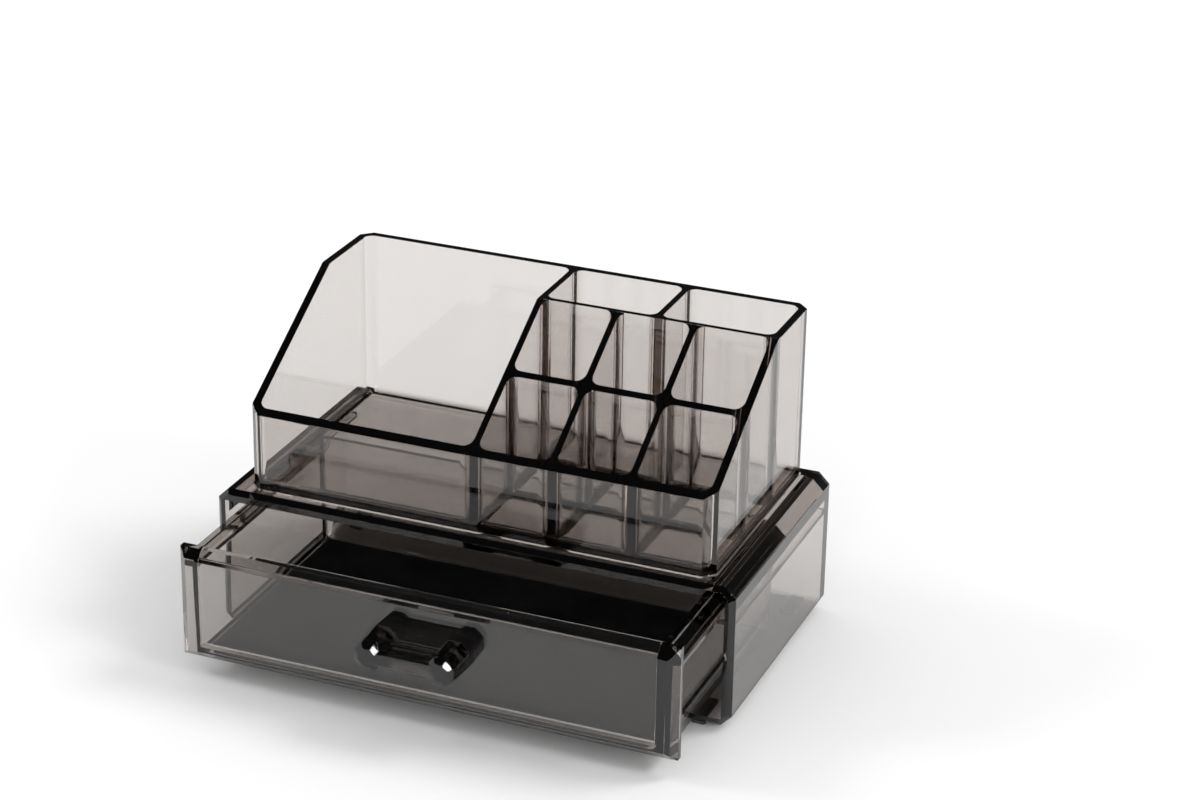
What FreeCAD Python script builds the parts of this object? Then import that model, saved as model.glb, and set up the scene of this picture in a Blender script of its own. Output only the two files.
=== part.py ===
import FreeCAD, Part
import Sketcher
import math
import os
import re

# A two-tier vanity organizer of smoky transparent plastic: a low cabinet with one drawer,
# and an open tray of nine compartments that stands in a recess on the cabinet's roof.
# Origin: on the surface it stands on, under the middle of the whole, drawer and handle included,
# with the drawer drawer_out open. +X is the right as one faces the drawer, +Y is the back, +Z is
# up. Millimetres.

DIMENSIONS = [
    # cabinet
    ("cabinet_width", 175.0), ("cabinet_depth", 90.0), ("cabinet_height", 47.6),
    ("cabinet_corner", 3.7), ("cabinet_bevel", 1.6),
    ("side_wall", 3.1), ("floor_wall", 3.0), ("back_wall", 2.4), ("roof_wall", 1.9),
    ("seat_depth", 1.9), ("seat_gap", 0.3), ("side_ledge", 9.1), ("front_ledge", 5.2),
    ("rail_width", 3.4), ("rail_thickness", 2.0), ("roof_gusset", 5.0),
    # feet
    ("foot_height", 1.0), ("foot_width", 4.8), ("foot_length", 12.0),
    ("foot_side_inset", 8.5), ("foot_end_inset", 1.6), ("foot_corner", 1.0),
    # upper tray
    ("tray_corner", 3.6), ("tray_front_height", 27.2), ("tray_back_height", 59.2),
    ("tray_side_wall", 2.7), ("tray_front_wall", 2.9), ("tray_back_wall", 2.8), ("tray_floor", 2.8),
    ("partition", 2.2), ("cell_width", 23.9), ("cell_depth", 24.4),
    ("cell_corner", 3.0), ("cell_fillet", 2.4),
    # drawer
    ("drawer_out", 32.0), ("drawer_stop_gap", 0.3), ("drawer_back_gap", 0.4),
    ("front_side_gap", 1.6), ("front_top_gap", 0.9), ("front_bottom_gap", 2.3),
    ("front_land", 2.3), ("front_bevel", 3.2), ("front_plate", 2.4), ("front_lip", 2.5),
    ("box_drop", 0.6), ("box_wall", 2.0), ("box_floor", 2.0),
    ("box_corner", 3.0), ("box_fillet", 2.4), ("box_draft", 1.0),
    ("flange_width", 4.2), ("flange_drop", 4.4), ("flange_thickness", 1.6), ("flange_gap", 0.3),
    ("flange_gusset", 3.6),
    # drawer pad
    ("board_gap", 0.3), ("board_thickness", 1.2), ("velvet_overhang", 1.2),
    ("velvet_thickness", 0.5), ("velvet_corner", 2.0),
    # handle
    ("handle_spacing", 23.8), ("handle_height", 21.2), ("handle_reach", 12.0),
    ("post_base", 10.4), ("post_taper", 3.0), ("post_crown", 0.9), ("crown_slope", 65.0),
    ("bar_size", 9.0), ("bar_setback", 0.3),
    ("stud_radius", 2.0), ("stud_depth", 1.2), ("stud_gap", 0.1),
    # how far a cut runs past the solid
    ("cut_margin", 2.0),
]

FITS = [
    # heights above the surface it stands on
    ("cabinet_top", "foot_height + cabinet_height"),
    ("inner_floor", "foot_height + floor_wall"),
    ("seat_height", "cabinet_top - seat_depth"),
    ("opening_top", "seat_height - roof_wall"),
    ("front_bottom", "inner_floor + front_bottom_gap"),
    # the middle of the cabinet, from front to back
    ("cabinet_middle", "(drawer_out + front_bevel + handle_reach) / 2"),
    # the upper tray and its compartments, from the cabinet's middle
    ("tray_half", "cabinet_width / 2 - side_ledge"),
    ("tray_front", "front_ledge - cabinet_depth / 2"),
    ("tray_back", "cabinet_depth / 2"),
    ("cells_right", "tray_half - tray_side_wall"),
    ("cells_left", "cells_right - 3 * cell_width - 2 * partition"),
    ("cells_front", "tray_front + tray_front_wall"),
    ("cells_back", "tray_back - tray_back_wall"),
    ("rear_row", "cells_front + 2 * cell_depth + 2 * partition"),
    # the drawer, from the outer edge of its front bevel and from its underside
    ("front_half", "cabinet_width / 2 - side_wall - front_side_gap"),
    ("front_height", "opening_top - front_top_gap - front_bottom"),
    ("box_height", "front_height - box_drop"),
    ("box_end", "cabinet_depth - back_wall - drawer_back_gap"),
    ("box_top_half", "front_half - flange_width"),
    ("box_foot_half", "box_top_half - box_height * tan(box_draft)"),
    ("box_inner_half", "box_foot_half - box_wall"),
    ("flange_top", "box_height - flange_drop"),
    ("rail_top", "front_bottom + flange_top - flange_thickness - flange_gap"),
    # the handle
    ("post_length", "handle_reach - post_crown"),
    ("post_tip", "post_base - 2 * post_length * tan(post_taper)"),
]

OCTAGON = math.tan(math.radians(22.5))
SLACK = 1e-4
SHEETS = {alias: "Sizes" for alias, value in DIMENSIONS} | {alias: "Fits" for alias, text in FITS}


def formula(text):
    """An expression in the aliases of both sheets, as FreeCAD reads it. Angles are in degrees."""
    text = re.sub(r"tan\(([a-z_]+)\)", r"tan(\1 * 1deg)", text)
    return re.sub(r"[a-z_]+", lambda word: sheet_name(word.group(0)), text)


def sheet_name(word):
    return f"{SHEETS[word]}.{word}" if word in SHEETS else word


def fill_sheet(name, rows):
    """A sheet with an alias on each row: its name beside its number or formula."""
    sheet = doc.addObject("Spreadsheet::Sheet", name)
    for row, (alias, content) in enumerate(rows, start=1):
        sheet.set(f"A{row}", alias)
        sheet.set(f"B{row}", content)
        sheet.setAlias(f"B{row}", alias)
        doc.recompute()
    return sheet


doc = FreeCAD.newDocument("VanityOrganizer")
sizes = fill_sheet("Sizes", [(alias, str(value)) for alias, value in DIMENSIONS])
fits = fill_sheet("Fits", [(alias, "=" + formula(text)) for alias, text in FITS])


def size(alias):
    """The number that a sheet holds under this alias."""
    return float(getattr(sizes if SHEETS[alias] == "Sizes" else fits, alias))


def bind(target, path, text):
    """Tie one property to an expression of the sheet's dimensions."""
    target.setExpression(path, formula(text))


def new_body(label):
    body = doc.addObject("PartDesign::Body", label)
    body.Label = label
    return body


def sketch_on(body, name, role, lift=None):
    """A sketch on one of the body's origin planes, lifted along the plane's normal."""
    sketch = body.newObject("Sketcher::SketchObject", name)
    plane = [item for item in body.Origin.OriginFeatures if item.Role == role][0]
    sketch.AttachmentSupport = [(plane, "")]
    sketch.MapMode = "FlatFace"
    if lift:
        bind(sketch, "AttachmentOffset.Base.z", lift)
    return sketch


def outline(sketch, corners):
    """A closed outline of straight lines. Each corner is a pair of expressions, in order."""
    first = sketch.GeometryCount
    count = len(corners)
    spots = []
    for turn in range(count):
        angle = 2 * math.pi * turn / count
        spots.append(FreeCAD.Vector(10 * math.cos(angle), 10 * math.sin(angle), 0))
    for turn in range(count):
        sketch.addGeometry(Part.LineSegment(spots[turn], spots[(turn + 1) % count]), False)
    for turn in range(count):
        after = first + (turn + 1) % count
        sketch.addConstraint(Sketcher.Constraint("Coincident", first + turn, 2, after, 1))
    for turn, (across, along) in enumerate(corners):
        line = first + turn
        index = sketch.addConstraint(Sketcher.Constraint("DistanceX", -1, 1, line, 1, spots[turn].x))
        bind(sketch, f"Constraints[{index}]", across)
        index = sketch.addConstraint(Sketcher.Constraint("DistanceY", -1, 1, line, 1, spots[turn].y))
        bind(sketch, f"Constraints[{index}]", along)


def rectangle(sketch, left, right, low, high):
    outline(sketch, [(left, low), (right, low), (right, high), (left, high)])


def circle(sketch, across, along, radius):
    ring = sketch.addGeometry(Part.Circle(FreeCAD.Vector(1, 1, 0), FreeCAD.Vector(0, 0, 1), 1), False)
    index = sketch.addConstraint(Sketcher.Constraint("Radius", ring, 1.0))
    bind(sketch, f"Constraints[{index}]", radius)
    index = sketch.addConstraint(Sketcher.Constraint("DistanceX", -1, 1, ring, 3, 1.0))
    bind(sketch, f"Constraints[{index}]", across)
    index = sketch.addConstraint(Sketcher.Constraint("DistanceY", -1, 1, ring, 3, 1.0))
    bind(sketch, f"Constraints[{index}]", along)


def octagon_corners(across_flats, centre_x="0", centre_y="0"):
    """The corners of a regular octagon lying on its flats, as expressions."""
    long = f"({across_flats}) / 2"
    short = f"({across_flats}) / 2 * {OCTAGON:.7f}"
    signs = [(1, -1, True), (1, 1, True), (1, 1, False), (-1, 1, False),
             (-1, 1, True), (-1, -1, True), (-1, -1, False), (1, -1, False)]
    corners = []
    for sign_x, sign_y, wide in signs:
        step_x, step_y = (long, short) if wide else (short, long)
        corners.append((f"{centre_x} + {sign_x} * {step_x}", f"{centre_y} + {sign_y} * {step_y}"))
    return corners


def volume_of(body):
    doc.recompute()
    return body.Shape.Volume if body.Shape and not body.Shape.isNull() else 0.0


def pad(body, sketch, length, reverse=False, middle=False, taper=None):
    before = volume_of(body)
    feature = body.newObject("PartDesign::Pad", sketch.Name + "_pad")
    feature.Profile = sketch
    bind(feature, "Length", length)
    feature.Reversed = reverse
    feature.Midplane = middle
    if taper:
        bind(feature, "TaperAngle", taper)
    body.Tip = feature
    check(volume_of(body) > before, f"{feature.Name} adds nothing")
    return feature


def pocket(body, sketch, length, reverse=False, middle=False):
    before = volume_of(body)
    feature = body.newObject("PartDesign::Pocket", sketch.Name + "_pocket")
    feature.Profile = sketch
    bind(feature, "Length", length)
    feature.Reversed = reverse
    feature.Midplane = middle
    body.Tip = feature
    check(volume_of(body) < before, f"{feature.Name} cuts nothing")
    return feature


def dress(body, kind, name, amount, test):
    """A fillet or chamfer on every edge of the body's tip that passes the test."""
    doc.recompute()
    base = body.Tip
    edges = [f"Edge{i}" for i, edge in enumerate(base.Shape.Edges, start=1) if test(edge)]
    check(edges, f"{name} finds no edge")
    feature = body.newObject(f"PartDesign::{kind}", name)
    feature.Base = (base, edges)
    bind(feature, "Radius" if kind == "Fillet" else "Size", amount)
    body.Tip = feature
    doc.recompute()
    return feature


def upright(edge):
    """True for a straight edge along Z."""
    ends = [vertex.Point for vertex in edge.Vertexes]
    if len(ends) != 2 or not isinstance(edge.Curve, Part.Line):
        return False
    return abs(ends[0].x - ends[1].x) < SLACK and abs(ends[0].y - ends[1].y) < SLACK


def flat_at(edge, axis, place):
    """True when the whole edge lies at one coordinate of an axis: 0 for X, 1 for Y, 2 for Z."""
    first = edge.FirstParameter
    span = edge.LastParameter - first
    points = [edge.valueAt(first + share * span) for share in (0.0, 0.5, 1.0)]
    return all(abs(point[axis] - place) < SLACK for point in points)


def check(passed, words):
    if not passed:
        raise RuntimeError(words)


def cut_corners(half_width, low, high, corner):
    """The outline of a rectangle, centred on zero across, with its four corners cut at 45 degrees."""
    return [
        (f"-({half_width}) + {corner}", low), (f"{half_width} - {corner}", low),
        (half_width, f"{low} + {corner}"), (half_width, f"{high} - {corner}"),
        (f"{half_width} - {corner}", high), (f"-({half_width}) + {corner}", high),
        (f"-({half_width})", f"{high} - {corner}"), (f"-({half_width})", f"{low} + {corner}"),
    ]


def cabinet_shell():
    """One moulding, open at the front: a bevelled edge, rails, roof gussets and the tray's seat."""
    body = new_body("cabinet_shell")
    front = "cabinet_depth / 2"
    section = sketch_on(body, "ShellSection", "XZ_Plane", front)
    outline(section, cut_corners("cabinet_width / 2", "foot_height", "cabinet_top", "cabinet_corner"))
    pad(body, section, "cabinet_depth", reverse=True)
    at_front = -size("cabinet_depth") / 2
    dress(body, "Chamfer", "FrontBevel", "cabinet_bevel", lambda edge: flat_at(edge, 1, at_front))
    mouth = sketch_on(body, "DrawerMouth", "XZ_Plane", front)
    wall = "(cabinet_width / 2 - side_wall)"
    rectangle(mouth, f"-{wall}", wall, "inner_floor", "opening_top")
    pocket(body, mouth, "cabinet_depth - back_wall")
    seat = sketch_on(body, "TraySeat", "XY_Plane", "cabinet_top")
    wide = "(tray_half + seat_gap)"
    near = "(tray_front - seat_gap)"
    bend = f"(tray_corner + seat_gap * {OCTAGON:.7f})"
    neck = "(tray_half - tray_corner + seat_gap)"
    outline(seat, [
        (f"-{wide} + {bend}", near), (f"{wide} - {bend}", near), (wide, f"{near} + {bend}"),
        (wide, "tray_back - tray_corner"), (neck, "tray_back"), (neck, "tray_back + cut_margin"),
        (f"-{neck}", "tray_back + cut_margin"), (f"-{neck}", "tray_back"),
        (f"-{wide}", "tray_back - tray_corner"), (f"-{wide}", f"{near} + {bend}"),
    ])
    pocket(body, seat, "seat_depth")
    rail_front = "(cabinet_depth / 2 - front_land - drawer_stop_gap)"
    rails = sketch_on(body, "RailsAndGussets", "XZ_Plane", rail_front)
    for side in ("", "-"):
        rectangle(rails, f"{side}({wall} - rail_width)", f"{side}{wall}",
                  "rail_top - rail_thickness", "rail_top")
        outline(rails, [
            (f"{side}({wall} - roof_gusset)", "opening_top"), (f"{side}{wall}", "opening_top"),
            (f"{side}{wall}", "opening_top - roof_gusset"),
        ])
    pad(body, rails, f"{rail_front} + cabinet_depth / 2 - back_wall", reverse=True)
    bind(body, "Placement.Base.y", "cabinet_middle")
    return body


def cabinet_feet():
    """Four small pads under the corners of the cabinet."""
    body = new_body("cabinet_feet")
    body.AllowCompound = True
    plan = sketch_on(body, "FootPlan", "XY_Plane")
    outer_x = "(cabinet_width / 2 - foot_side_inset)"
    outer_y = "(cabinet_depth / 2 - foot_end_inset)"
    for across in ("", "-"):
        for along in ("", "-"):
            rectangle(plan, f"{across}({outer_x} - foot_width)", f"{across}{outer_x}",
                      f"{along}({outer_y} - foot_length)", f"{along}{outer_y}")
    pad(body, plan, "foot_height")
    dress(body, "Fillet", "FootCorners", "foot_corner", upright)
    bind(body, "Placement.Base.y", "cabinet_middle")
    return body


def organizer_tray():
    """One moulding: nine open compartments, its rims cut on a slope behind a low front wall."""
    body = new_body("organizer_tray")
    plan = sketch_on(body, "TrayPlan", "XY_Plane")
    outline(plan, cut_corners("tray_half", "tray_front", "tray_back", "tray_corner"))
    pad(body, plan, "tray_back_height")
    slope = sketch_on(body, "RimSlope", "YZ_Plane")
    outline(slope, [
        ("tray_front", "tray_front_height"), ("rear_row - partition", "tray_back_height"),
        ("rear_row - partition", "tray_back_height + cut_margin"),
        ("tray_front - cut_margin", "tray_back_height + cut_margin"),
        ("tray_front - cut_margin", "tray_front_height"),
    ])
    pocket(body, slope, "2 * tray_half + cut_margin", middle=True)
    cells = sketch_on(body, "Cells", "XY_Plane", "tray_back_height")
    rectangle(cells, "-cells_right", "cells_left - partition", "cells_front", "cells_back")
    for row in range(2):
        low = f"(cells_front + {row} * (cell_depth + partition))"
        for column in range(3):
            left = f"(cells_left + {column} * (cell_width + partition))"
            rectangle(cells, left, f"{left} + cell_width", low, f"{low} + cell_depth")
    middle = "(cells_left + cells_right) / 2"
    rectangle(cells, "cells_left", f"{middle} - partition / 2", "rear_row", "cells_back")
    rectangle(cells, f"{middle} + partition / 2", "cells_right", "rear_row", "cells_back")
    pocket(body, cells, "tray_back_height - tray_floor")
    dress(body, "Fillet", "CellCorners", "cell_corner", inside_the_walls)
    floor = size("tray_floor")
    dress(body, "Fillet", "CellFloors", "cell_fillet", lambda edge: flat_at(edge, 2, floor))
    bind(body, "Placement.Base.y", "cabinet_middle")
    bind(body, "Placement.Base.z", "seat_height")
    return body


def inside_the_walls(edge):
    """True for an upright edge of the compartments, not of the tray's outside."""
    if not upright(edge):
        return False
    spot = edge.Vertexes[0].Point
    between = size("cells_front") - SLACK < spot.y < size("cells_back") + SLACK
    return between and abs(spot.x) < size("cells_right") + SLACK


def place_in_drawer(body):
    """The drawer's own origin is on the outer edge of its front bevel, at the height of its base."""
    bind(body, "Placement.Base.y", "cabinet_middle - cabinet_depth / 2 - drawer_out")
    bind(body, "Placement.Base.z", "front_bottom")


def drawer_tray():
    """The drawer's box, open at the top and front, with drafted walls and a flange on each side."""
    body = new_body("drawer_tray")
    plan = sketch_on(body, "BoxPlan", "XY_Plane")
    rectangle(plan, "-box_foot_half", "box_foot_half", "front_land", "box_end")
    pad(body, plan, "box_height", taper="box_draft * 1deg")
    ends = sketch_on(body, "BoxEnds", "XY_Plane", "box_height")
    rectangle(ends, "-front_half", "front_half", "front_land - cut_margin", "front_land")
    rectangle(ends, "-front_half", "front_half", "box_end", "box_end + cut_margin")
    pocket(body, ends, "box_height")
    hollow = sketch_on(body, "BoxHollow", "XY_Plane", "box_height")
    rectangle(hollow, "-box_inner_half", "box_inner_half",
              "front_land - cut_margin", "box_end - box_wall")
    pocket(body, hollow, "box_height - box_floor")
    back = size("box_end") - size("box_wall")
    dress(body, "Fillet", "BoxCorners", "box_corner",
          lambda edge: upright(edge) and flat_at(edge, 1, back))
    floor = size("box_floor")
    front = size("front_land")
    dress(body, "Fillet", "BoxFloor", "box_fillet",
          lambda edge: flat_at(edge, 2, floor) and not flat_at(edge, 1, front))
    flanges = sketch_on(body, "Flanges", "XY_Plane", "flange_top")
    for side in ("", "-"):
        rectangle(flanges, f"{side}(box_top_half - box_wall)", f"{side}front_half",
                  "front_land", "box_end")
    pad(body, flanges, "flange_thickness", reverse=True)
    flange_top = size("flange_top")
    root = size("box_foot_half") + flange_top * math.tan(math.radians(size("box_draft")))
    dress(body, "Chamfer", "FlangeGussets", "flange_gusset",
          lambda edge: flat_at(edge, 2, flange_top) and (flat_at(edge, 0, root) or flat_at(edge, 0, -root)))
    place_in_drawer(body)
    return body


def drawer_front():
    """The bevelled front, dished at the back, with a lip that slopes as the bevel over it does."""
    body = new_body("drawer_front")
    face = sketch_on(body, "FrontFace", "XZ_Plane", "front_bevel")
    rectangle(face, "-front_half", "front_half", "0", "front_height")
    pad(body, face, "front_bevel + front_land", reverse=True)
    at_front = -size("front_bevel")
    dress(body, "Chamfer", "FaceBevel", "front_bevel", lambda edge: flat_at(edge, 1, at_front))
    dish = sketch_on(body, "FrontDish", "XZ_Plane", "-front_land")
    rectangle(dish, "-box_inner_half", "box_inner_half",
              "box_floor + box_fillet", "front_height - front_bevel")
    pocket(body, dish, "front_bevel + front_land - front_plate", reverse=True)
    lip = size("front_height") - size("front_bevel")
    at_back = size("front_land")
    dress(body, "Chamfer", "LipSlope", "front_lip",
          lambda edge: flat_at(edge, 2, lip) and flat_at(edge, 1, at_back))
    holes = sketch_on(body, "StudHoles", "XZ_Plane", "front_bevel")
    for side in ("", "-"):
        circle(holes, f"{side}handle_spacing / 2", "handle_height", "stud_radius + stud_gap")
    pocket(body, holes, "stud_depth + stud_gap")
    place_in_drawer(body)
    return body


def drawer_handle():
    """Two eight-sided posts with faceted tips, joined by an eight-sided bar, and a stud on each."""
    body = new_body("drawer_handle")
    bar = sketch_on(body, "BarSection", "YZ_Plane")
    middle = "-front_bevel - handle_reach + bar_setback + bar_size / 2"
    outline(bar, octagon_corners("bar_size", middle, "handle_height"))
    pad(body, bar, "handle_spacing", middle=True)
    for side, word in (("", "Right"), ("-", "Left")):
        across = f"{side}handle_spacing / 2"
        post = sketch_on(body, f"{word}Post", "XZ_Plane", "front_bevel")
        outline(post, octagon_corners("post_base", across, "handle_height"))
        pad(body, post, "post_length", taper="-post_taper * 1deg")
        tip = sketch_on(body, f"{word}Tip", "XZ_Plane", "front_bevel + post_length")
        outline(tip, octagon_corners("post_tip", across, "handle_height"))
        pad(body, tip, "post_crown", taper="-crown_slope * 1deg")
    studs = sketch_on(body, "Studs", "XZ_Plane", "front_bevel")
    for side in ("", "-"):
        circle(studs, f"{side}handle_spacing / 2", "handle_height", "stud_radius")
    pad(body, studs, "stud_depth", reverse=True)
    place_in_drawer(body)
    return body


def drawer_sheet(label, sketch_name, inset, low, thickness):
    """A flat sheet on the drawer's floor, held in from the inner walls by an inset."""
    body = new_body(label)
    plan = sketch_on(body, sketch_name, "XY_Plane", low)
    half = f"(box_inner_half - {inset})"
    rectangle(plan, f"-{half}", half, "front_land + board_gap", f"box_end - box_wall - {inset}")
    pad(body, plan, thickness)
    dress(body, "Fillet", sketch_name + "Corners", "velvet_corner", upright)
    place_in_drawer(body)
    return body


def pad_board():
    """The stiff foam board of the drawer's pad, between the floor's fillets."""
    return drawer_sheet("pad_board", "BoardPlan", "(box_fillet + board_gap)",
                        "box_floor", "board_thickness")


def pad_velvet():
    """The black velvet sheet on the board, a little wider than it."""
    return drawer_sheet("pad_velvet", "VelvetPlan", "(box_fillet + board_gap - velvet_overhang)",
                        "box_floor + board_thickness", "velvet_thickness")


def main():
    bodies = [
        cabinet_shell(), cabinet_feet(), organizer_tray(),
        drawer_tray(), drawer_front(), drawer_handle(), pad_board(), pad_velvet(),
    ]
    doc.recompute()
    for item in doc.Objects:
        state = " ".join(item.State)
        check("Invalid" not in state and "Error" not in state, f"{item.Label}: {state}")
    for body in bodies:
        check(not body.Shape.isNull() and body.Shape.isValid(), f"{body.Label} has no valid shape")
    os.makedirs("parts", exist_ok=True)
    for body in bodies:
        body.Shape.exportStep(f"parts/{body.Label}.step")
        print(f"{body.Label:15s} {len(body.Shape.Solids)} solids, {body.Shape.Volume:10.2f} mm3")


main()
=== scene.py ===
"""The looks of a smoky clear plastic makeup organizer with a drawer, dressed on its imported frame."""

import math

import bmesh
import bpy
from mathutils import Matrix, Vector


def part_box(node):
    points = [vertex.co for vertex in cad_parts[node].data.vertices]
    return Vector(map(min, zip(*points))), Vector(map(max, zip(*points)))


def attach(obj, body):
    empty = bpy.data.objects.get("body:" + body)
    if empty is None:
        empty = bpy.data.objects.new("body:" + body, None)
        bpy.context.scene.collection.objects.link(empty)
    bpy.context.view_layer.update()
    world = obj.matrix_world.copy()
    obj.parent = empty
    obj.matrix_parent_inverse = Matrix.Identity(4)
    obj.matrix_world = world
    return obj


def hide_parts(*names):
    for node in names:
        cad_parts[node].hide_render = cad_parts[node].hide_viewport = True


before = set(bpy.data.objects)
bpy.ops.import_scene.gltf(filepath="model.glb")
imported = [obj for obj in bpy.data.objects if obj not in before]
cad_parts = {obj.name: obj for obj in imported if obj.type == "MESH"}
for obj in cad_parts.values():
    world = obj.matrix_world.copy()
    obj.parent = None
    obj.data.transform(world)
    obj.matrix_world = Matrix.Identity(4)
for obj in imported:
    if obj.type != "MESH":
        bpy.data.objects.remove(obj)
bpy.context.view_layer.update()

MM = 0.001
scene = bpy.context.scene

# The clear plastic: how it bends light, and how fast it darkens with depth.
PLASTIC_IOR = 1.58
SMOKE_TINT = (0.605, 0.55, 0.51)
SMOKE_DENSITY = 225.0
HANDLE_TINT = (0.57, 0.55, 0.535)
HANDLE_DENSITY = 700.0
GLOSS = 0.004
DULLNESS = 0.02
WAVINESS = 0.06
WAVE_DEPTH = 0.12 * MM

# The mouldings' edges, and the hair of air between mouldings that rest on each other.
SAME_PLACE = 0.01 * MM
SAME_PLANE = math.radians(0.3)
HAIR_OF_AIR = 0.02 * MM
CABINET_EDGE = 0.12 * MM
TRAY_EDGE = 0.25 * MM
DRAWER_EDGE = 0.15 * MM
HANDLE_EDGE = 0.25 * MM

# The pad's velvet.
PAD_CELL = 2.6 * MM
PAD_CORNER = 2.0 * MM
PAD_SWELL = 0.45 * MM
GLUED_HEIGHT = 0.1 * MM
SWELL_FRAMES = 20
SWELL_PRESSURE = 4.0

# The studio: how high the white surround reaches, by the slope of the view, and the levels of light.
SURROUND_TOP = 0.10
CEILING_FOOT = 0.28
CEILING_LEVEL = 0.04
EVEN_LIGHT = 0.74
FLOOR_WHITE = 0.95
FLOOR_SIZE = 12.0

# The camera: where it stands, in metres, where it looks, in degrees, and its lens.
CAMERA_PLACE = (0.35937, -0.81253, 0.48189)
CAMERA_TURN = 21.79
CAMERA_TILT = 23.98
CAMERA_ROLL = 1.02
CAMERA_LENS = 94.5


# ---- Helpers for the making ----

def deselect_all():
    """Clear the selection, so that the next operator acts on one piece alone."""
    if bpy.context.object and bpy.context.object.mode != "OBJECT":
        bpy.ops.object.mode_set(mode="OBJECT")
    bpy.ops.object.select_all(action="DESELECT")


def hold(piece):
    """Make one piece the selected and active one."""
    deselect_all()
    piece.select_set(True)
    bpy.context.view_layer.objects.active = piece


def edit(piece):
    """Open one piece for editing with all of its mesh selected."""
    hold(piece)
    bpy.ops.object.mode_set(mode="EDIT")
    bpy.ops.mesh.select_mode(type="VERT")
    bpy.ops.mesh.select_all(action="SELECT")


def close_edit():
    """Leave edit mode."""
    bpy.ops.object.mode_set(mode="OBJECT")


def apply_modifier(piece, modifier):
    """Make a modifier part of the mesh."""
    hold(piece)
    bpy.ops.object.modifier_apply(modifier=modifier.name)


def give(piece, material):
    """Finish a piece in one material."""
    piece.data.materials.clear()
    piece.data.materials.append(material)


def smooth_by_angle(piece, degrees):
    """Shade the soft bends smooth and keep the sharp edges sharp."""
    hold(piece)
    bpy.ops.object.shade_smooth_by_angle(angle=math.radians(degrees))


# ---- Node tools for the materials ----

def new_material(name):
    """A material with its shader and output, ready for more nodes."""
    material = bpy.data.materials.new(name)
    material.use_nodes = True
    shader = material.node_tree.nodes["Principled BSDF"]
    return material, material.node_tree, shader


def add_node(tree, kind, **values):
    """Add a node and set its plain properties."""
    node = tree.nodes.new(kind)
    for key, value in values.items():
        setattr(node, key, value)
    return node


def noise(tree, place, scale, detail=2.0, roughness=0.5):
    """Three-dimensional noise read at a place in the piece's own space."""
    node = add_node(tree, "ShaderNodeTexNoise", noise_dimensions="3D")
    node.inputs["Scale"].default_value = scale
    node.inputs["Detail"].default_value = detail
    node.inputs["Roughness"].default_value = roughness
    tree.links.new(place, node.inputs["Vector"])
    return node.outputs["Fac"]


def spread(tree, value, low, high, out_low, out_high):
    """Map a value from one range to another."""
    node = add_node(tree, "ShaderNodeMapRange")
    node.inputs["From Min"].default_value = low
    node.inputs["From Max"].default_value = high
    node.inputs["To Min"].default_value = out_low
    node.inputs["To Max"].default_value = out_high
    tree.links.new(value, node.inputs["Value"])
    return node.outputs["Result"]


def two_colours(tree, shader, pattern, dark, pale):
    """Colour a surface from dark to pale by a pattern of 0 to 1."""
    mixed = add_node(tree, "ShaderNodeMix", data_type="RGBA", blend_type="MIX")
    mixed.inputs["A"].default_value = (*dark, 1.0)
    mixed.inputs["B"].default_value = (*pale, 1.0)
    tree.links.new(pattern, mixed.inputs["Factor"])
    tree.links.new(mixed.outputs["Result"], shader.inputs["Base Color"])


def in_relief(tree, shader, pattern, strength, depth):
    """Let a fine pattern stand in relief."""
    bump = add_node(tree, "ShaderNodeBump")
    bump.inputs["Strength"].default_value = strength
    bump.inputs["Distance"].default_value = depth
    tree.links.new(pattern, bump.inputs["Height"])
    tree.links.new(bump.outputs["Normal"], shader.inputs["Normal"])


def moulding_finish():
    """Group: how a moulded plastic surface differs from a perfect one.

    Its gloss varies in faint clouds, fine hairlines from wiping cross it, and it has the slight
    waviness of a part that has shrunk in its mould.
    """
    group = bpy.data.node_groups.new("moulding finish", "ShaderNodeTree")
    for setting in ("Gloss", "Dullness", "Wave height"):
        group.interface.new_socket(name=setting, in_out="INPUT", socket_type="NodeSocketFloat")
    group.interface.new_socket(name="Roughness", in_out="OUTPUT", socket_type="NodeSocketFloat")
    group.interface.new_socket(name="Normal", in_out="OUTPUT", socket_type="NodeSocketVector")
    start = group.nodes.new("NodeGroupInput")
    end = group.nodes.new("NodeGroupOutput")
    place = group.nodes.new("ShaderNodeTexCoord").outputs["Object"]

    clouds = noise(group, place, 55.0, 3.0, 0.6)
    stretch = add_node(group, "ShaderNodeMapping")
    stretch.inputs["Rotation"].default_value = (0.35, 0.5, 0.6)
    stretch.inputs["Scale"].default_value = (1.0, 26.0, 6.0)
    group.links.new(place, stretch.inputs["Vector"])
    hairlines = noise(group, stretch.outputs["Vector"], 90.0, 2.0, 0.5)
    thin_lines = spread(group, hairlines, 0.63, 0.72, 0.0, 0.5)

    both = add_node(group, "ShaderNodeMath", operation="ADD")
    group.links.new(clouds, both.inputs[0])
    group.links.new(thin_lines, both.inputs[1])
    dull = add_node(group, "ShaderNodeMath", operation="MULTIPLY_ADD")
    group.links.new(both.outputs[0], dull.inputs[0])
    group.links.new(start.outputs["Dullness"], dull.inputs[1])
    group.links.new(start.outputs["Gloss"], dull.inputs[2])
    group.links.new(dull.outputs[0], end.inputs["Roughness"])

    waves = noise(group, place, 28.0, 1.0, 0.4)
    bump = add_node(group, "ShaderNodeBump")
    bump.inputs["Distance"].default_value = WAVE_DEPTH
    group.links.new(start.outputs["Wave height"], bump.inputs["Strength"])
    group.links.new(waves, bump.inputs["Height"])
    group.links.new(bump.outputs["Normal"], end.inputs["Normal"])
    return group


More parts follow.
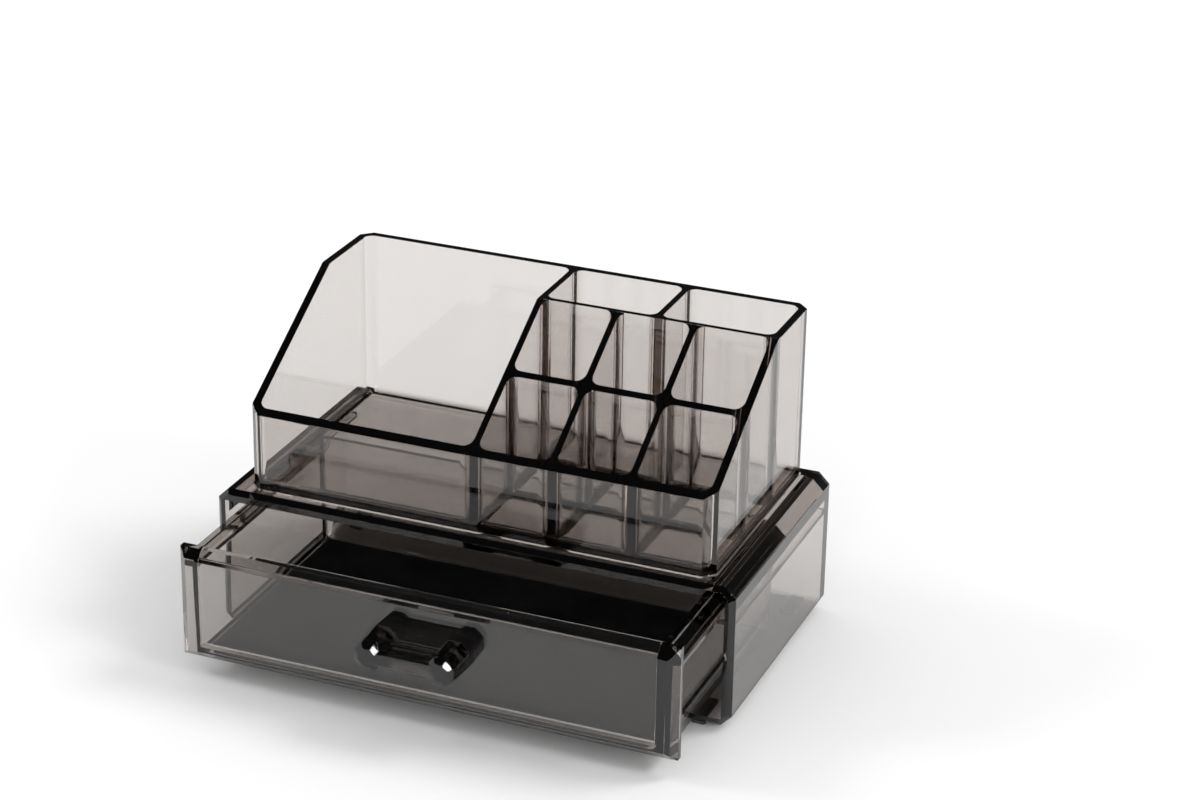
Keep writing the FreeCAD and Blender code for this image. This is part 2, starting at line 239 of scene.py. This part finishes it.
def smoky_plastic(name, finish, tint, density):
    """Clear plastic coloured through: light that travels further inside comes out darker."""
    material, tree, shader = new_material(name)
    shader.inputs["Base Color"].default_value = (1.0, 1.0, 1.0, 1.0)
    shader.inputs["Metallic"].default_value = 0.0
    shader.inputs["IOR"].default_value = PLASTIC_IOR
    shader.inputs["Transmission Weight"].default_value = 1.0
    surface = add_node(tree, "ShaderNodeGroup", node_tree=finish)
    surface.inputs["Gloss"].default_value = GLOSS
    surface.inputs["Dullness"].default_value = DULLNESS
    surface.inputs["Wave height"].default_value = WAVINESS
    tree.links.new(surface.outputs["Roughness"], shader.inputs["Roughness"])
    tree.links.new(surface.outputs["Normal"], shader.inputs["Normal"])
    inside = add_node(tree, "ShaderNodeVolumeAbsorption")
    inside.inputs["Color"].default_value = (*tint, 1.0)
    inside.inputs["Density"].default_value = density
    output = tree.nodes["Material Output"]
    tree.links.new(inside.outputs["Volume"], output.inputs["Volume"])
    return material


def velvet_cloth():
    """Black velvet: a short dense pile that is darkest face on and catches a grey sheen at a slant."""
    material, tree, shader = new_material("black velvet")
    place = tree.nodes.new("ShaderNodeTexCoord").outputs["Object"]
    pile = noise(tree, place, 2600.0, 2.0, 0.6)
    strokes = noise(tree, place, 60.0, 3.0, 0.6)
    brushed = spread(tree, strokes, 0.35, 0.7, 0.0, 1.0)
    two_colours(tree, shader, brushed, (0.0045, 0.0045, 0.005), (0.016, 0.0155, 0.016))
    tree.links.new(spread(tree, pile, 0.3, 0.7, 0.85, 1.0), shader.inputs["Roughness"])
    shader.inputs["Specular IOR Level"].default_value = 0.1
    shader.inputs["Sheen Weight"].default_value = 0.12
    shader.inputs["Sheen Roughness"].default_value = 0.35
    shader.inputs["Sheen Tint"].default_value = (0.55, 0.54, 0.56, 1.0)
    in_relief(tree, shader, pile, 0.6, 0.2 * MM)
    return material


def dark_board():
    """Near-black board with short fibres and greyer specks."""
    material, tree, shader = new_material("dark board")
    place = tree.nodes.new("ShaderNodeTexCoord").outputs["Object"]
    fibres = noise(tree, place, 900.0, 4.0, 0.7)
    specks = spread(tree, fibres, 0.35, 0.65, 0.0, 1.0)
    two_colours(tree, shader, specks, (0.022, 0.022, 0.022), (0.05, 0.048, 0.046))
    tree.links.new(spread(tree, fibres, 0.3, 0.7, 0.8, 0.95), shader.inputs["Roughness"])
    in_relief(tree, shader, fibres, 0.4, 0.1 * MM)
    return material


def soft_rubber():
    """Dark grey rubber of the feet, matt, with fine pores and paler dust."""
    material, tree, shader = new_material("foot rubber")
    place = tree.nodes.new("ShaderNodeTexCoord").outputs["Object"]
    pores = noise(tree, place, 1800.0, 3.0, 0.6)
    dust = noise(tree, place, 260.0, 3.0, 0.6)
    dusty = spread(tree, dust, 0.4, 0.75, 0.0, 1.0)
    two_colours(tree, shader, dusty, (0.022, 0.022, 0.023), (0.06, 0.058, 0.055))
    tree.links.new(spread(tree, pores, 0.3, 0.7, 0.65, 0.85), shader.inputs["Roughness"])
    in_relief(tree, shader, pores, 0.5, 0.1 * MM)
    return material


finish = moulding_finish()
clear_smoke = smoky_plastic("smoky plastic", finish, SMOKE_TINT, SMOKE_DENSITY)
handle_smoke = smoky_plastic("handle plastic", finish, HANDLE_TINT, HANDLE_DENSITY)
velvet = velvet_cloth()
board = dark_board()
rubber = soft_rubber()


# ---- The plastic mouldings ----

def merged_copy(node, name):
    """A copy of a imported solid, its loose triangles merged into whole flat faces."""
    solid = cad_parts[node]
    piece = solid.copy()
    piece.data = solid.data.copy()
    piece.name = name
    scene.collection.objects.link(piece)
    piece.parent = None
    edit(piece)
    bpy.ops.mesh.customdata_custom_splitnormals_clear()
    tidy_faces(piece)
    return piece


def tidy_faces(piece):
    """Merge doubled corners and join the triangles of each flat face."""
    edit(piece)
    bpy.ops.mesh.remove_doubles(threshold=SAME_PLACE)
    bpy.ops.mesh.dissolve_limited(angle_limit=SAME_PLANE)
    close_edit()


def split_faces(piece):
    """Split the wide faces, so that none of them has to wrap round an opening."""
    edit(piece)
    bpy.ops.mesh.quads_convert_to_tris(quad_method="BEAUTY", ngon_method="BEAUTY")
    close_edit()


def mesh_box(piece):
    """The lowest and highest corner of a piece's mesh."""
    places = [corner.co for corner in piece.data.vertices]
    low = [min(place[axis] for place in places) for axis in range(3)]
    high = [max(place[axis] for place in places) for axis in range(3)]
    return low, high


def keep_inside(piece, box):
    """Bring any corner that stands out of a box back to its side."""
    low, high = box
    for corner in piece.data.vertices:
        for axis in range(3):
            corner.co[axis] = min(max(corner.co[axis], low[axis]), high[axis])


def weld(piece, other):
    """Join two glued mouldings into one clear body, with no air left in the glued seam."""
    join = piece.modifiers.new("weld", "BOOLEAN")
    join.operation = "UNION"
    join.solver = "EXACT"
    join.object = other
    apply_modifier(piece, join)
    bpy.data.objects.remove(other)
    tidy_faces(piece)


def finish_moulding(piece, edge_radius, material, sharp_edge=40, soft_bend=20):
    """Soften the edges as moulding does, and keep the walls between them flat.

    The piece is drawn in by a hair, so that mouldings which rest on each other keep air between them.
    Edges sharper than the one angle are softened, and bends under the other are shaded as one curve.
    """
    solid_box = mesh_box(piece)
    soft = piece.modifiers.new("softened edges", "BEVEL")
    soft.width = edge_radius
    soft.segments = 2
    soft.limit_method = "ANGLE"
    soft.angle_limit = math.radians(sharp_edge)
    soft.use_clamp_overlap = False
    apply_modifier(piece, soft)
    keep_inside(piece, solid_box)
    hair = piece.modifiers.new("hair of air", "DISPLACE")
    hair.strength = -HAIR_OF_AIR
    hair.mid_level = 0.0
    apply_modifier(piece, hair)
    keep_inside(piece, solid_box)
    smooth_by_angle(piece, soft_bend)
    even = piece.modifiers.new("even walls", "WEIGHTED_NORMAL")
    even.mode = "FACE_AREA"
    even.weight = 100
    even.keep_sharp = True
    apply_modifier(piece, even)
    split = piece.modifiers.new("split faces", "TRIANGULATE")
    split.min_vertices = 5
    split.ngon_method = "BEAUTY"
    split.keep_custom_normals = True
    apply_modifier(piece, split)
    give(piece, material)


def cabinet():
    """The low cabinet with its seat for the tray."""
    piece = merged_copy("cabinet_shell", "cabinet")
    split_faces(piece)
    finish_moulding(piece, CABINET_EDGE, clear_smoke)
    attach(piece, "cabinet")
    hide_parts("cabinet_shell")


def upper_tray():
    """The tray of nine compartments."""
    piece = merged_copy("organizer_tray", "upper_tray")
    finish_moulding(piece, TRAY_EDGE, clear_smoke)
    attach(piece, "tray")
    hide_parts("organizer_tray")


def drawer():
    """The drawer's box and its front plate, welded to one clear body as solvent glue does."""
    piece = merged_copy("drawer_tray", "drawer_box_and_front")
    weld(piece, merged_copy("drawer_front", "front_plate"))
    finish_moulding(piece, DRAWER_EDGE, clear_smoke)
    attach(piece, "drawer")
    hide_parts("drawer_tray", "drawer_front")


def handle():
    """The faceted handle of darker plastic."""
    piece = merged_copy("drawer_handle", "handle")
    finish_moulding(piece, HANDLE_EDGE, handle_smoke, sharp_edge=15, soft_bend=24)
    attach(piece, "drawer")
    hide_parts("drawer_handle")


# ---- The pad and the feet ----

def velvet_blank():
    """The velvet as cut: a thin closed slab with rounded corners, in small cells."""
    low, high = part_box("pad_velvet")
    size = high - low
    deselect_all()
    bpy.ops.mesh.primitive_grid_add(
        x_subdivisions=round(size.x / PAD_CELL),
        y_subdivisions=round(size.y / PAD_CELL),
        size=1.0,
        location=((low.x + high.x) / 2, (low.y + high.y) / 2, low.z),
    )
    pad = bpy.context.object
    pad.name = "velvet_pad"
    pad.scale = (size.x, size.y, 1.0)
    bpy.ops.object.transform_apply(location=True, rotation=True, scale=True)
    thick = pad.modifiers.new("thickness", "SOLIDIFY")
    thick.thickness = size.z
    thick.offset = 1.0
    apply_modifier(pad, thick)
    edit(pad)
    bpy.ops.mesh.select_all(action="DESELECT")
    shape = bmesh.from_edit_mesh(pad.data)
    for corner in shape.verts:
        at_end = min(abs(corner.co.x - low.x), abs(corner.co.x - high.x)) < SAME_PLACE
        at_side = min(abs(corner.co.y - low.y), abs(corner.co.y - high.y)) < SAME_PLACE
        corner.select = at_end and at_side
    shape.select_flush_mode()
    for edge in shape.edges:
        edge.select = all(corner.select for corner in edge.verts)
    bmesh.update_edit_mesh(pad.data)
    bpy.ops.mesh.bevel(offset=PAD_CORNER, segments=4, affect="EDGES")
    bpy.ops.mesh.select_all(action="SELECT")
    bpy.ops.mesh.normals_make_consistent(inside=False)
    close_edit()
    return pad


def puff_up(pad, floor_height):
    """Let the velvet swell a little over the board, held flat where it lies on it."""
    flat = pad.vertex_groups.new(name="glued")
    glue_top = floor_height + GLUED_HEIGHT
    flat.add([corner.index for corner in pad.data.vertices if corner.co.z < glue_top], 1.0, "REPLACE")
    start = [corner.co.copy() for corner in pad.data.vertices]
    cloth = pad.modifiers.new("cloth", "CLOTH")
    cloth.settings.quality = 6
    cloth.settings.mass = 0.2
    cloth.settings.use_pressure = True
    cloth.settings.uniform_pressure_force = SWELL_PRESSURE
    cloth.settings.vertex_group_mass = "glued"
    cloth.settings.effector_weights.gravity = 0.0
    for step in range(1, SWELL_FRAMES + 1):
        scene.frame_set(step)
    apply_modifier(pad, cloth)
    scene.frame_set(1)
    for corner, before in zip(pad.data.vertices, start):
        move = corner.co - before
        if move.length > PAD_SWELL:
            corner.co = before + move * (PAD_SWELL / move.length)
    pad.vertex_groups.clear()


def velvet_pad():
    """The soft black pad on the drawer's floor."""
    pad = velvet_blank()
    puff_up(pad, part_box("pad_velvet")[0].z)
    rounder = pad.modifiers.new("rounder", "SUBSURF")
    rounder.levels = 1
    rounder.render_levels = 1
    apply_modifier(pad, rounder)
    smooth_by_angle(pad, 60)
    give(pad, velvet)
    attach(pad, "drawer")
    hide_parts("pad_velvet")


def board_and_feet():
    """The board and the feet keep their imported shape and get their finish."""
    for node, material in (("pad_board", board), ("cabinet_feet", rubber)):
        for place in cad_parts[node].material_slots:
            place.material = material


cabinet()
upper_tray()
drawer()
handle()
velvet_pad()
board_and_feet()


# ---- The floor, the light and the camera ----

def studio_world():
    """A white surround under a dim ceiling, as the clear plastic shows it, and a plain even light."""
    world = bpy.data.worlds.new("studio")
    world.use_nodes = True
    scene.world = world
    tree = world.node_tree
    tree.nodes.clear()

    way = tree.nodes.new("ShaderNodeTexCoord")
    parts = tree.nodes.new("ShaderNodeSeparateXYZ")
    tree.links.new(way.outputs["Generated"], parts.inputs["Vector"])
    surround = tree.nodes.new("ShaderNodeBackground")
    surround.inputs["Color"].default_value = (1.0, 1.0, 1.0, 1.0)
    ceiling = spread(tree, parts.outputs["Z"], SURROUND_TOP, CEILING_FOOT, 1.0, CEILING_LEVEL)

    even = tree.nodes.new("ShaderNodeBackground")
    even.inputs["Color"].default_value = (1.0, 1.0, 1.0, 1.0)
    even.inputs["Strength"].default_value = EVEN_LIGHT

    path = tree.nodes.new("ShaderNodeLightPath")
    backdrop = add_node(tree, "ShaderNodeMath", operation="MAXIMUM")
    tree.links.new(ceiling, backdrop.inputs[0])
    tree.links.new(path.outputs["Is Camera Ray"], backdrop.inputs[1])
    tree.links.new(backdrop.outputs[0], surround.inputs["Strength"])
    direct = add_node(tree, "ShaderNodeMath", operation="ADD")
    tree.links.new(path.outputs["Is Camera Ray"], direct.inputs[0])
    tree.links.new(path.outputs["Is Glossy Ray"], direct.inputs[1])
    seen = add_node(tree, "ShaderNodeMath", operation="ADD", use_clamp=True)
    tree.links.new(direct.outputs[0], seen.inputs[0])
    tree.links.new(path.outputs["Is Transmission Ray"], seen.inputs[1])

    shown = tree.nodes.new("ShaderNodeMixShader")
    tree.links.new(seen.outputs[0], shown.inputs["Fac"])
    tree.links.new(even.outputs["Background"], shown.inputs[1])
    tree.links.new(surround.outputs["Background"], shown.inputs[2])
    output = tree.nodes.new("ShaderNodeOutputWorld")
    tree.links.new(shown.outputs["Shader"], output.inputs["Surface"])


def pale_floor():
    """A plain pale floor, which keeps the object's soft shadow."""
    deselect_all()
    bpy.ops.mesh.primitive_plane_add(size=FLOOR_SIZE, location=(0.0, 0.0, -HAIR_OF_AIR))
    floor = bpy.context.object
    floor.name = "floor"
    bpy.ops.object.transform_apply(location=True, rotation=True, scale=True)
    material, tree, shader = new_material("pale floor")
    shader.inputs["Base Color"].default_value = (FLOOR_WHITE, FLOOR_WHITE, FLOOR_WHITE, 1.0)
    shader.inputs["Roughness"].default_value = 0.9
    shader.inputs["Specular IOR Level"].default_value = 0.0
    give(floor, material)


def soft_sun(name, azimuth, elevation, width, strength):
    """A broad soft light from far away. Its place and its width in the sky are in degrees."""
    data = bpy.data.lights.new(name, "SUN")
    data.angle = math.radians(width)
    data.energy = strength
    lamp = bpy.data.objects.new(name, data)
    scene.collection.objects.link(lamp)
    turn = math.radians(azimuth)
    tilt = math.radians(elevation)
    toward = Vector((math.sin(turn) * math.cos(tilt), -math.cos(turn) * math.cos(tilt), math.sin(tilt)))
    lamp.rotation_euler = toward.to_track_quat("Z", "Y").to_euler()


def studio_lamps():
    """A bright light low in front for the handle's facets, one on each side and one behind."""
    soft_sun("front light", azimuth=9.5, elevation=5.5, width=14.0, strength=0.95)
    soft_sun("right light", azimuth=75.0, elevation=35.0, width=12.0, strength=0.3)
    soft_sun("left light", azimuth=-78.0, elevation=40.0, width=12.0, strength=0.35)
    soft_sun("back light", azimuth=122.0, elevation=50.0, width=24.0, strength=0.9)


def place_camera():
    """The camera, to the right of the front and looking down."""
    turn = math.radians(CAMERA_TURN)
    tilt = math.radians(CAMERA_TILT)
    roll = math.radians(CAMERA_ROLL)
    ahead = Vector((-math.sin(turn) * math.cos(tilt), math.cos(turn) * math.cos(tilt), -math.sin(tilt)))
    level = Vector((math.cos(turn), math.sin(turn), 0.0))
    upright = level.cross(ahead)
    right = level * math.cos(roll) + upright * math.sin(roll)
    up = upright * math.cos(roll) - level * math.sin(roll)
    data = bpy.data.cameras.new("camera")
    data.lens = CAMERA_LENS
    data.sensor_width = 36.0
    data.clip_start = 0.01
    data.clip_end = 50.0
    camera = bpy.data.objects.new("camera", data)
    scene.collection.objects.link(camera)
    aim = Matrix((right, up, -ahead)).transposed().to_4x4()
    aim.translation = Vector(CAMERA_PLACE)
    camera.matrix_world = aim
    scene.camera = camera


def light_paths():
    """Let light pass all the walls of the organizer that lie behind one another."""
    scene.cycles.max_bounces = 28
    scene.cycles.transmission_bounces = 28
    scene.cycles.glossy_bounces = 8
    scene.cycles.diffuse_bounces = 3
    scene.cycles.transparent_max_bounces = 8
    scene.view_settings.view_transform = "Standard"


studio_world()
pale_floor()
studio_lamps()
place_camera()
light_paths()
